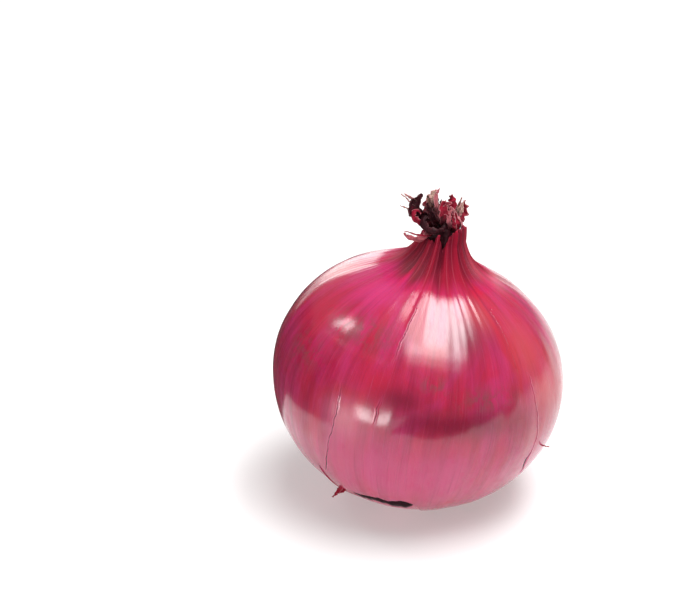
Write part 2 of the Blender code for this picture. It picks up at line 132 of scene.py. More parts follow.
# Patches of colour on the skin, some of them partly painted light as noted at each.
# Each has a centre and half widths, as azimuth and angle in degrees.
# Deep crimson patches: real colour, but the first and third, across the front just above the girth, are
# partly a painted dark reflection band
CRIMSON_AND_DARK_REFLECTION = ((-77, 99, 30, 7), (-74, 138, 15, 11), (-101, 107, 9, 6), (60, 92, 34, 8), (150, 108, 24, 9),
           (10, 118, 16, 9))
ORANGE = ((-38, 128, 13, 18), (-34, 108, 9, 14), (-62, 146, 10, 9), (105, 120, 20, 18), (165, 138, 16, 10))
RED = ((-159, 128, 13, 10), (-112, 112, 10, 7), (40, 128, 16, 12), (-20, 100, 12, 12), (120, 88, 16, 10))
BROWN = ((-132, 130, 24, 8), (-66, 110, 14, 6), (-89, 116, 8, 4), (88, 132, 24, 9), (20, 90, 18, 8),
         (-152, 110, 12, 9))
# Lilac pink patches: partly real hue, partly a painted sheen on the left shoulder and a painted reflection of
# the floor in a band below the girth
LILAC_AND_SHEEN = ((-140, 150, 22, 9), (-95, 70, 36, 18), (-20, 70, 30, 16), (140, 70, 40, 18), (60, 66, 30, 16))
# Pale blush patches: the first, on the right shoulder, is partly a painted highlight; the others are pale
# skin
PALE_AND_HIGHLIGHT = ((2, 156, 18, 5), (-122, 92, 9, 9), (100, 150, 24, 8))
NECK_DUSK = ((-140, 163, 26, 6),)
NECK_BRIGHT = ((-70, 163, 22, 8), (60, 162, 30, 8))
# Pink at the neck's right front and at its back: a painted highlight on the ridges
NECK_RIDGE_HIGHLIGHT = ((-18, 162, 16, 10), (170, 162, 18, 8))

# Where the skin bulges and sinks beside the second crack
BULGE = ((-110, 93, 10, 8),)
SINK = ((-108, 99, 3, 14),)


# Small sums, on numbers or arrays

def smooth(low, high, value):
    share = np.clip((value - low) / (high - low), 0.0, 1.0)
    return share * share * (3 - 2 * share)


def mix(low, high, share):
    return low + (high - low) * share


def waves(sizes, azimuth):
    return sum(size * np.cos(count * azimuth + phase) for size, count, phase in sizes)


def angle_between(first, second):
    return np.arctan2(np.sin(first - second), np.cos(first - second))


def ripple(points, length, seed, count=24):
    """A smooth random field between about -1 and 1 over points, with waves about length long."""
    draw = np.random.RandomState(seed)
    turns = draw.normal(size=(count, points.shape[-1]))
    turns /= np.linalg.norm(turns, axis=1)[:, None]
    turns *= (2 * math.pi / length) * draw.uniform(0.6, 1.6, count)[:, None]
    phases = draw.uniform(0, 2 * math.pi, count)
    return np.cos(points @ turns.T + phases).sum(-1) / math.sqrt(count / 2)


def spots(patches, azimuth, angle):
    """How much of these patches each point lies in, from 0 to 1."""
    inside = np.zeros_like(azimuth)
    for at, up, wide, high in patches:
        across = angle_between(azimuth, math.radians(at)) / math.radians(wide)
        along = (angle - math.radians(up)) / math.radians(high)
        inside = np.maximum(inside, np.exp(-(across ** 2 + along ** 2)))
    return inside


# Meshes

def mesh_object(name, points, faces, fields=None, smooth_shading=True):
    """A mesh piece whose fields are values that its material reads at each point."""
    mesh = bpy.data.meshes.new(name)
    mesh.from_pydata([tuple(point) for point in points], [], faces)
    for key, values in (fields or {}).items():
        values = np.asarray(values, np.float32)
        if values.ndim == 2:
            mesh.attributes.new(key, "FLOAT_VECTOR", "POINT").data.foreach_set("vector", values.ravel())
        else:
            mesh.attributes.new(key, "FLOAT", "POINT").data.foreach_set("value", values.ravel())
    if smooth_shading:
        mesh.shade_smooth()
    mesh.update()
    piece = bpy.data.objects.new(name, mesh)
    bpy.context.scene.collection.objects.link(piece)
    return piece


def belongs(piece, node, material):
    piece.data.materials.append(material)
    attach(piece, "root")
    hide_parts(node)
    return piece


# The skin's surface

def placed(radius, height, azimuth, angle):
    """Points from the bulb's own axis to the part's frame, leaning from the girth up."""
    lean = LEAN * smooth(0, math.pi / 2, angle)
    across = radius * np.cos(azimuth)
    x = across * np.cos(lean) + height * np.sin(lean)
    z = height * np.cos(lean) - across * np.sin(lean) + GIRTH_LEVEL
    return np.stack(np.broadcast_arrays(x, radius * np.sin(azimuth), np.maximum(z, 0.0)), -1)


def body_points(azimuth, angle, inset=0.0):
    depth = np.where(angle < math.pi / 2, KEEL_DEPTH, CROWN_HEIGHT)
    radius = GIRTH_RADIUS * np.sin(angle) * (1 + waves(OUT_OF_ROUND, azimuth))
    height = -depth * np.cos(angle)
    shrink = 1 - inset / np.hypot(radius, height)
    return placed(radius * shrink, height * shrink, azimuth, angle)


def tear(azimuth):
    """Radius from the root end at which the outer skin stops."""
    ragged = 0.0004 * np.cos(37 * azimuth) + 0.0003 * np.cos(61 * azimuth + 1) + 0.0002 * np.cos(97 * azimuth)
    at, radius, _ = np.array(TORN_EDGE).T
    edge = np.interp(np.degrees(angle_between(azimuth, 0.0)), at, radius) * MM
    return edge + 0.4 * waves(TEAR_RAGS, azimuth) + 0.3 * ragged


def slit(azimuth, below):
    """How far the skin gapes at its torn edge in front, at a distance below that edge."""
    at, _, wide = np.array(TORN_EDGE).T
    wide = np.interp(np.degrees(angle_between(azimuth, 0.0)), at, wide)
    wide = wide * MM * (1 + 0.10 * np.cos(53 * azimuth) + 0.06 * np.cos(87 * azimuth)) + 0.00008
    return np.exp(-(below / wide) ** 4) * smooth(0, 0.0006, wide)


def hollow_depth(radius, azimuth):
    """How deep the layer under the torn skin lies: deepest in the root hollow and in the slit."""
    under = UNDER_STEP + SLIT_DEPTH * slit(azimuth, tear(azimuth) - radius)
    return mix(HOLLOW_DEPTH, under, smooth(*HOLLOW_WALL, radius / HOLLOW_RADIUS))


def neck_points(radius, azimuth, lip=0.0):
    angle = math.pi - np.arcsin(radius / GIRTH_RADIUS)
    toe = math.exp(-(NECK_TOE - NECK_RADIUS) / NECK_FLARE)
    rise = NECK_RISE * (np.exp(-(radius - NECK_RADIUS) / NECK_FLARE) - toe) / (1 - toe)
    near = 1 - smooth(NECK_RADIUS, NECK_TOE, radius)
    lobed = radius * (1 + waves(OUT_OF_ROUND, azimuth) * (1 - near))
    folded = lobed + near ** 3.2 * pleat_fold(azimuth)
    return placed(folded, -CROWN_HEIGHT * np.cos(angle) + rise + lip, azimuth, angle)


def pleat_wave(azimuth):
    return waves(PLEATS, azimuth + PLEAT_DRIFT * np.sin(2 * azimuth) / PLEATS[0][1])


def pleat_fold(azimuth):
    return PLEAT_DEPTH * pleat_wave(azimuth)


def fine_ridges(azimuth):
    return np.cos(37 * azimuth + 2 * np.sin(3 * azimuth))


def collar_points(radius, height, azimuth):
    """Points on the collar that the neck's skin forms above the mouth's level."""
    matrix = neck_matrix()
    reach = radius + pleat_fold(azimuth)
    local = np.stack([reach * np.cos(azimuth), reach * np.sin(azimuth), height + 0 * azimuth], -1)
    return local @ matrix[:3, :3].T + matrix[:3, 3]


def lip_height(azimuth):
    """The ragged top of the neck's skin: a tall collar at the front right, notched at the front."""
    deg = np.degrees(angle_between(azimuth, 0.0))
    teeth = 0.35 * np.cos(23 * azimuth + 1) + 0.3 * np.cos(41 * azimuth) + 0.35 * np.cos(9 * azimuth + 2)
    collar = COLLAR_RISE / MM * np.exp(-((deg - COLLAR_AZIMUTH) / COLLAR_WIDTH) ** 4)
    tooth = 2.4 * np.exp(-((deg + 108) / 7) ** 2) + 1.0 * np.exp(-((deg - 110) / 35) ** 2)
    collar += 1.3 * np.exp(-((deg + 27) / 9) ** 2)
    notch = 2.6 * np.exp(-((deg + 92) / 7) ** 2) + 0.6 * np.exp(-((deg + 138) / 16) ** 2)
    return (0.3 + 0.8 * teeth + collar + tooth - notch) * MM


def crack_home(path):
    return math.radians(path[len(path) // 2][0])


def crack_columns():
    """Azimuths of the grid's columns, which stand closer together at the cracks."""
    fine = np.linspace(-math.pi, math.pi, 8192)
    density = np.ones_like(fine)
    for _, path in CRACKS:
        off = angle_between(fine, crack_home(path))
        density += CRACK_COLUMNS * np.exp(-(off / CRACK_BAND) ** 2)
    total = np.concatenate([[0.0], np.cumsum(density[1:] + density[:-1])])
    return np.interp(np.arange(COLUMNS) / COLUMNS, total / total[-1], fine)


def crack_path(path, angle):
    """Azimuth of a crack at each angle, its half width there in mm, and 0 beyond its ends."""
    ups = np.radians([point[1] for point in path][::-1])
    ats = np.radians([point[0] for point in path][::-1])
    at = np.interp(angle, ups, ats)
    wide = np.interp(angle, ups, [point[2] for point in path][::-1])
    jitter = 0.0035 * np.sin(angle * 37 + ats[0] * 9) + 0.002 * np.sin(angle * 83 + ats[0] * 5)
    ends = smooth(ups[0] - 0.02, ups[0] + 0.06, angle) * smooth(ups[-1] + 0.02, ups[-1] - 0.08, angle)
    return at + jitter, wide, ends


def skin_grid():
    """Azimuth, angle and point of each vertex of the fine skin, from the hollow to the mouth."""
    base = crack_columns()
    rows = []
    for step in range(HOLLOW_ROWS):
        share = mix(0.03, 0.988, (step / (HOLLOW_ROWS - 1)) ** 0.6)
        radius = tear(base) * share
        angle = np.arcsin(radius / GIRTH_RADIUS)
        rows.append((base, angle, body_points(base, angle, hollow_depth(radius, base)), 1.0))
    rim = np.arcsin(tear(base) / GIRTH_RADIUS)
    rows.append((base, rim, body_points(base, rim - 0.004, 0.0006), 0.8))
    rows.append((base, rim, body_points(base, rim + 0.002, 0.00022), 0.3))
    edge = np.maximum(FLAT_SPOT_EDGE, rim + RIM_BAND)
    top = math.pi - math.asin(NECK_TOE / GIRTH_RADIUS)
    for step in range(BODY_ROWS):
        if step < RIM_ROWS:
            angle = mix(rim + 0.004, edge, step / RIM_ROWS)
        else:
            angle = mix(edge, top, (step - RIM_ROWS) / (BODY_ROWS - RIM_ROWS - 1))
        azimuth = base.copy()
        for _, path in CRACKS:
            at, _, _ = crack_path(path, angle)
            off = angle_between(base, crack_home(path))
            azimuth = azimuth + (at - crack_home(path)) * np.exp(-(off / CRACK_PULL) ** 4)
        rows.append((azimuth, angle, body_points(azimuth, angle), 0.0))
    lip = lip_height(base)
    low = np.minimum(lip, 0)
    for step in range(1, NECK_ROWS + 1):
        share = step / NECK_ROWS
        radius = mix(NECK_TOE, NECK_RADIUS, share) + 0 * base
        angle = math.pi - np.arcsin(radius / GIRTH_RADIUS)
        rows.append((base, angle, neck_points(radius, base, low * smooth(0.6, 1.0, share)), 0.0))
    high = np.maximum(lip, 0) + 0.00015
    for step in range(1, COLLAR_ROWS + 1):
        share = step / COLLAR_ROWS
        radius = NECK_RADIUS - 0.0005 * (high / 0.004) * share ** 1.5
        rows.append((base, angle + 0.02 * share, collar_points(radius, low + high * share, base), 0.0))
    for step in range(1, LIP_ROWS + 1):
        share = step / LIP_ROWS
        radius = mix(NECK_RADIUS - 0.0008, MOUTH_RADIUS - 0.0008, share) - 0.0003 * high / 0.004
        height = mix(low + high - 0.0002, -MOUTH_DEPTH - 0.002, share ** 0.8)
        rows.append((base, angle + 0.03, collar_points(radius, height, base), 1.0))
    azimuth = np.array([row[0] for row in rows])
    angle = np.array([row[1] for row in rows])
    points = np.array([row[2] for row in rows])
    layer = np.array([row[3] + 0 * row[0] for row in rows])
    return azimuth, angle, points, layer


def neck_matrix():
    level = CROWN_HEIGHT * math.cos(math.asin(NECK_RADIUS / GIRTH_RADIUS)) + NECK_RISE
    turn = Matrix.Rotation(LEAN, 4, "Y")
    return np.array(Matrix.Translation((0, 0, GIRTH_LEVEL)) @ turn @ Matrix.Translation((0, 0, level)))


def grid_normals(points):
    along = np.gradient(points, axis=0)
    across = np.roll(points, -1, axis=1) - np.roll(points, 1, axis=1)
    normal = np.cross(across, along)
    return normal / np.maximum(np.linalg.norm(normal, axis=-1, keepdims=True), 1e-12)


def grid_faces(rows, columns):
    """Quads of a grid that closes on itself sideways, and a face over each of its ends."""
    row, column = np.meshgrid(np.arange(rows - 1), np.arange(columns), indexing="ij")
    after = (column + 1) % columns
    quads = np.stack([row * columns + column, row * columns + after,
                      (row + 1) * columns + after, (row + 1) * columns + column], -1)
    first = list(range(columns))[::-1]
    last = [(rows - 1) * columns + i for i in range(columns)]
    return [*quads.reshape(-1, 4).tolist(), first, last]


def onion_skin():
    azimuth, angle, points, layer = skin_grid()
    normal = grid_normals(points)
    outside = 1 - smooth(0.0, 0.3, layer)
    girth = np.sin(angle)
    down = angle * GIRTH_RADIUS
    flow = np.stack([GIRTH_RADIUS * np.cos(azimuth), GIRTH_RADIUS * np.sin(azimuth), down], -1) / MM
    lie = flow * (1, 1, 0.3)
    toe = np.radians(NECK_EDGE + 1.3 * ripple(flow[..., :2] / 4, 3.0, 8))
    neck = smooth(-0.11, 0.05, angle - toe) * outside
    dull = np.radians(MATTE_EDGE) + 0.4 * (toe - np.radians(NECK_EDGE))
    matte = smooth(-0.09, 0.04, angle - dull) * outside
    shoulder = smooth(math.radians(128), math.radians(158), angle) * outside

    rise = 0.16 * ripple(lie, 26, 1) + 0.05 * ripple(lie, 9, 2)
    rise = rise * girth + 0.015 * ripple(flow * (1, 1, 0.06), 4.2, 3) * (0.5 + shoulder)
    rise += neck * (0.08 * ripple(flow * (1, 1, 0.05), 3.4, 4, 40) + 0.05 * fine_ridges(azimuth))
    at, _, opened = crack_path(CRACKS[CREASED][1], angle)
    left = np.maximum(0, angle_between(at, azimuth)) * girth * GIRTH_RADIUS / MM
    rise -= CREASE_FALL * (1 - np.exp(-left / 2.6)) * np.exp(-left / 12) * opened
    rise += 0.2 * spots(BULGE, azimuth, angle)
    rise -= 0.12 * spots(SINK, azimuth, angle)
    crack = np.zeros_like(rise)
    lips = np.zeros_like(rise)
    for depth, path in CRACKS:
        at, width, opened = crack_path(path, angle)
        opened = opened * smooth(-0.2, 1.0, width / HAIRLINE)
        width = np.maximum(width, HAIRLINE)
        side = angle_between(azimuth, at) * girth * GIRTH_RADIUS / MM
        groove = np.exp(-(side / width) ** 2) * opened
        lip = np.exp(-((np.abs(side) - 2.2 * width) / (1.6 * width)) ** 2) * opened
        rise += -depth * groove + 0.45 * depth * lip * (side > 0) + 0.25 * depth * lip * (side < 0)
        crack = np.maximum(crack, groove)
        lips = np.maximum(lips, lip)
    crack *= outside
    rise *= outside * smooth(FLAT_SPOT_EDGE, FLAT_SPOT_EDGE + 0.3, angle)
    points = points + normal * rise[..., None] * MM
    points[..., 2] = np.maximum(points[..., 2], 0.0)

    rows, columns = azimuth.shape
    faces = grid_faces(rows, columns)
    below = tear(azimuth) - GIRTH_RADIUS * np.sin(angle)
    fields = {
        "gape": (slit(azimuth, below) * (layer > 0.9) * (angle < 1.5)).ravel(),
        "flow": flow.reshape(-1, 3),
        "crack": crack.ravel(),
        "lips": (lips * outside).ravel(),
        "layer": layer.ravel(),
        "neck": neck.ravel(),
        "matte": matte.ravel(),
        "pleat": pleat_wave(azimuth).ravel(),
        "ridges": fine_ridges(azimuth).ravel(),
        "crimson": spots(CRIMSON_AND_DARK_REFLECTION, azimuth, angle).ravel(),
        "orange": spots(ORANGE, azimuth, angle).ravel(),
        "red": spots(RED, azimuth, angle).ravel(),
        "brown": spots(BROWN, azimuth, angle).ravel(),
        "lilac_and_sheen": spots(LILAC_AND_SHEEN, azimuth, angle).ravel(),
        "pale_and_highlight": spots(PALE_AND_HIGHLIGHT, azimuth, angle).ravel(),
        "dusk": spots(NECK_DUSK, azimuth, angle).ravel(),
        "bright": spots(NECK_BRIGHT, azimuth, angle).ravel(),
        "ridge_highlight": spots(NECK_RIDGE_HIGHLIGHT, azimuth, angle).ravel(),
    }
    return mesh_object("onion_skin", points.reshape(-1, 3), faces, fields)


# Node materials

class Paint:
    """Builds a node material in few words."""

    def __init__(self, name):
        self.material = bpy.data.materials.new(name)
        self.material.use_nodes = True
        self.tree = self.material.node_tree
        self.shader = self.tree.nodes["Principled BSDF"]

    def node(self, kind, **settings):
        made = self.tree.nodes.new(kind)
        for key, value in settings.items():
            setattr(made, key, value)
        return made

    def feed(self, socket, value):
        if isinstance(value, bpy.types.NodeSocket):
            self.tree.links.new(value, socket)
        elif isinstance(value, tuple) and len(value) == 3 and socket.type == "RGBA":
            socket.default_value = (*value, 1.0)
        else:
            socket.default_value = value

    def field(self, key, vector=False):
        return self.node("ShaderNodeAttribute", attribute_name=key).outputs["Vector" if vector else "Fac"]

    def stretch(self, vector, scale):
        made = self.node("ShaderNodeVectorMath", operation="MULTIPLY")
        self.feed(made.inputs[0], vector)
        made.inputs[1].default_value = scale
        return made.outputs[0]

    def noise(self, vector, scale, detail=3.0, rough=0.5, distortion=0.0):
        made = self.node("ShaderNodeTexNoise")
        self.feed(made.inputs["Vector"], vector)
        made.inputs["Scale"].default_value = scale
        made.inputs["Detail"].default_value = detail
        made.inputs["Roughness"].default_value = rough
        made.inputs["Distortion"].default_value = distortion
        return made.outputs["Fac"]

    def span(self, value, low, high, out_low=0.0, out_high=1.0):
        made = self.node("ShaderNodeMapRange", interpolation_type="SMOOTHSTEP")
        self.feed(made.inputs["Value"], value)
        made.inputs["From Min"].default_value = low
        made.inputs["From Max"].default_value = high
        made.inputs["To Min"].default_value = out_low
        made.inputs["To Max"].default_value = out_high
        return made.outputs["Result"]

    def sum(self, operation, first, second):
        made = self.node("ShaderNodeMath", operation=operation)
        self.feed(made.inputs[0], first)
        self.feed(made.inputs[1], second)
        return made.outputs[0]

    def blend(self, share, first, second):
        made = self.node("ShaderNodeMix", data_type="RGBA")
        self.feed(made.inputs["Factor"], share)
        self.feed(made.inputs[6], first)
        self.feed(made.inputs[7], second)
        return made.outputs[2]

    def bump(self, height, distance, strength=1.0):
        made = self.node("ShaderNodeBump")
        self.feed(made.inputs["Height"], height)
        made.inputs["Distance"].default_value = distance
        made.inputs["Strength"].default_value = strength
        return made.outputs["Normal"]

    def finish(self, colour, roughness, normal=None, **sockets):
        self.feed(self.shader.inputs["Base Color"], colour)
        self.feed(self.shader.inputs["Roughness"], roughness)
        if normal is not None:
            self.feed(self.shader.inputs["Normal"], normal)
        for key, value in sockets.items():
            self.shader.inputs[key.replace("_", " ")].default_value = value
        return self.material


MAGENTA = (0.46, 0.020, 0.110)
PINK = (0.62, 0.13, 0.26)
DEEP = (0.17, 0.002, 0.024)
ORANGE_RED = (0.47, 0.050, 0.058)
PURE_RED = (0.44, 0.010, 0.044)
DUN = (0.19, 0.042, 0.056)
LILAC_SHEEN_PINK = (0.50, 0.026, 0.145)
HIGHLIGHT_BLUSH = (0.70, 0.30, 0.34)
PLEAT_SHADE_MAROON = (0.125, 0.006, 0.018)
NECK_RED = (0.26, 0.008, 0.026)
NECK_DUN = (0.150, 0.030, 0.042)
RIDGE_HIGHLIGHT_PINK = (0.46, 0.09, 0.13)
# Near black: painted shade in the cracks and in the gap under the torn edge
SHADE_BLACK = (0.016, 0.003, 0.006)
CUT_EDGE = (0.46, 0.10, 0.14)
FOLD_RED = (0.34, 0.010, 0.034)
INNER_PALE = (0.56, 0.085, 0.17)
INNER_DEEP = (0.42, 0.040, 0.095)


def skin_material():
    paint = Paint("skin")
    flow = paint.field("flow", vector=True)
    streaks = paint.noise(paint.stretch(flow, (1, 1, 0.07)), 0.28, 4, 0.6)
    veins = paint.noise(paint.stretch(flow, (1, 1, 0.035)), 1.5, 3, 0.55, 0.15)
    threads = paint.noise(paint.stretch(flow, (1, 1, 0.02)), 3.6, 2, 0.5)
    clouds = paint.noise(paint.stretch(flow, (1, 1, 0.55)), 0.085, 5, 0.6, 0.8)
    blotches = paint.noise(paint.stretch(flow, (1, 1, 0.6)), 0.42, 5, 0.68, 0.6)
    specks = paint.noise(paint.stretch(flow, (1, 1, 0.8)), 2.6, 3, 0.6)

    colour = paint.blend(paint.span(clouds, 0.36, 0.66), MAGENTA, PURE_RED)
    colour = paint.blend(paint.sum("MULTIPLY", paint.span(streaks, 0.35, 0.72), 0.55), colour, DEEP)
    # Lilac pink: partly real hue, partly painted sheen on the left shoulder and painted floor reflection
    # below the girth
    colour = paint.blend(paint.sum("MULTIPLY", paint.field("lilac_and_sheen"), 0.75), colour, LILAC_SHEEN_PINK)
    colour = paint.blend(paint.sum("MULTIPLY", paint.field("red"), 0.95), colour, PURE_RED)
    colour = paint.blend(paint.sum("MULTIPLY", paint.field("orange"), 0.8), colour, ORANGE_RED)
    # Deep crimson patches; the band across the front is partly a painted dark reflection
    colour = paint.blend(paint.sum("MULTIPLY", paint.field("crimson"), 0.85), colour, DEEP)
    dun = paint.sum("MULTIPLY", paint.field("brown"), paint.span(blotches, 0.40, 0.62))
    colour = paint.blend(paint.sum("MULTIPLY", dun, 0.75), colour, DUN)
    # Pale blush: on the right shoulder partly a painted highlight
    colour = paint.blend(paint.sum("MULTIPLY", paint.field("pale_and_highlight"), 0.35), colour, HIGHLIGHT_BLUSH)
    colour = paint.blend(paint.span(veins, 0.56, 0.76, 0.0, 0.30), colour, DEEP)
    colour = paint.blend(paint.span(threads, 0.60, 0.76, 0.0, 0.12), colour, PINK)
    colour = paint.blend(paint.span(specks, 0.66, 0.74, 0.0, 0.22), colour, DUN)

    neck = paint.field("neck")
    # The neck is darker maroon in its pleat valleys and redder on their crests, mixed with veins: partly
    # painted shade of the pleats
    pleat_shade_and_veins = paint.sum("ADD", paint.field("pleat"), paint.span(veins, 0.3, 0.7, -0.9, 0.9))
    folded = paint.blend(paint.span(pleat_shade_and_veins, -1.2, 1.4), PLEAT_SHADE_MAROON, NECK_RED)
    folded = paint.blend(paint.sum("MULTIPLY", paint.field("bright"), 0.5), folded, FOLD_RED)
    folded = paint.blend(paint.sum("MULTIPLY", paint.field("dusk"), 0.8), folded, NECK_DUN)
    # Pink on the ridge patches and on the crests of the neck's fine ridges: painted highlight
    folded = paint.blend(paint.sum("MULTIPLY", paint.field("ridge_highlight"), 0.6), folded, RIDGE_HIGHLIGHT_PINK)
    folded = paint.blend(paint.span(paint.field("ridges"), 0.72, 1.0, 0.0, 0.22), folded, RIDGE_HIGHLIGHT_PINK)
    colour = paint.blend(neck, colour, folded)

    colour = paint.blend(paint.sum("MULTIPLY", paint.field("lips"), 0.35), colour, PINK)
    # Near black in the crack grooves: painted shade
    colour = paint.blend(paint.span(paint.field("crack"), 0.25, 0.7), colour, SHADE_BLACK)
    layer = paint.field("layer")
    colour = paint.blend(paint.span(layer, 0.1, 0.3), colour, CUT_EDGE)
    inner = paint.blend(paint.span(streaks, 0.3, 0.7), INNER_PALE, INNER_DEEP)
    colour = paint.blend(paint.span(layer, 0.5, 0.9), colour, inner)

    # Near black in the gap under the torn edge in front: painted shade
    colour = paint.blend(paint.span(paint.field("gape"), 0.15, 0.6), colour, SHADE_BLACK)
    height = paint.sum("ADD", veins, paint.sum("MULTIPLY", threads, 0.6))
    height = paint.sum("ADD", height, paint.sum("MULTIPLY", specks, 0.35))
    normal = paint.bump(height, 0.00008)
    grain = paint.sum("ADD", blotches, paint.sum("MULTIPLY", veins, 0.4))
    roughness = paint.span(grain, 0.5, 0.95, 0.40, 0.58)
    roughness = paint.sum("ADD", roughness, paint.sum("MULTIPLY", neck, 0.35))
    roughness = paint.sum("ADD", roughness, paint.sum("MULTIPLY", paint.field("gape"), 0.4))
    gloss = paint.sum("SUBTRACT", paint.span(blotches, 0.45, 0.75, 0.95, 0.65), paint.field("matte"))
    gloss = paint.sum("SUBTRACT", gloss, paint.field("gape"))
    paint.feed(paint.shader.inputs["Coat Weight"], paint.span(gloss, 0.0, 1.0))
    return paint.finish(colour, roughness, normal, Specular_IOR_Level=0.06, Coat_Roughness=0.18,
                        Coat_IOR=1.62, Subsurface_Weight=0.10, Subsurface_Scale=0.002)


# The neck's dry leaves

LEAF_STEPS = 44
LEAF_SIDES = 11
LEAF_THICKNESS = 0.00016
STRIP_FOOT = 0.75
STRIP_BELLY = 0.3
STRIP_TAPER = 0.85
TAPER_POWER = 5
FIRST_ROLL = 0.4
TIGHTEST_ROLL = 0.0005

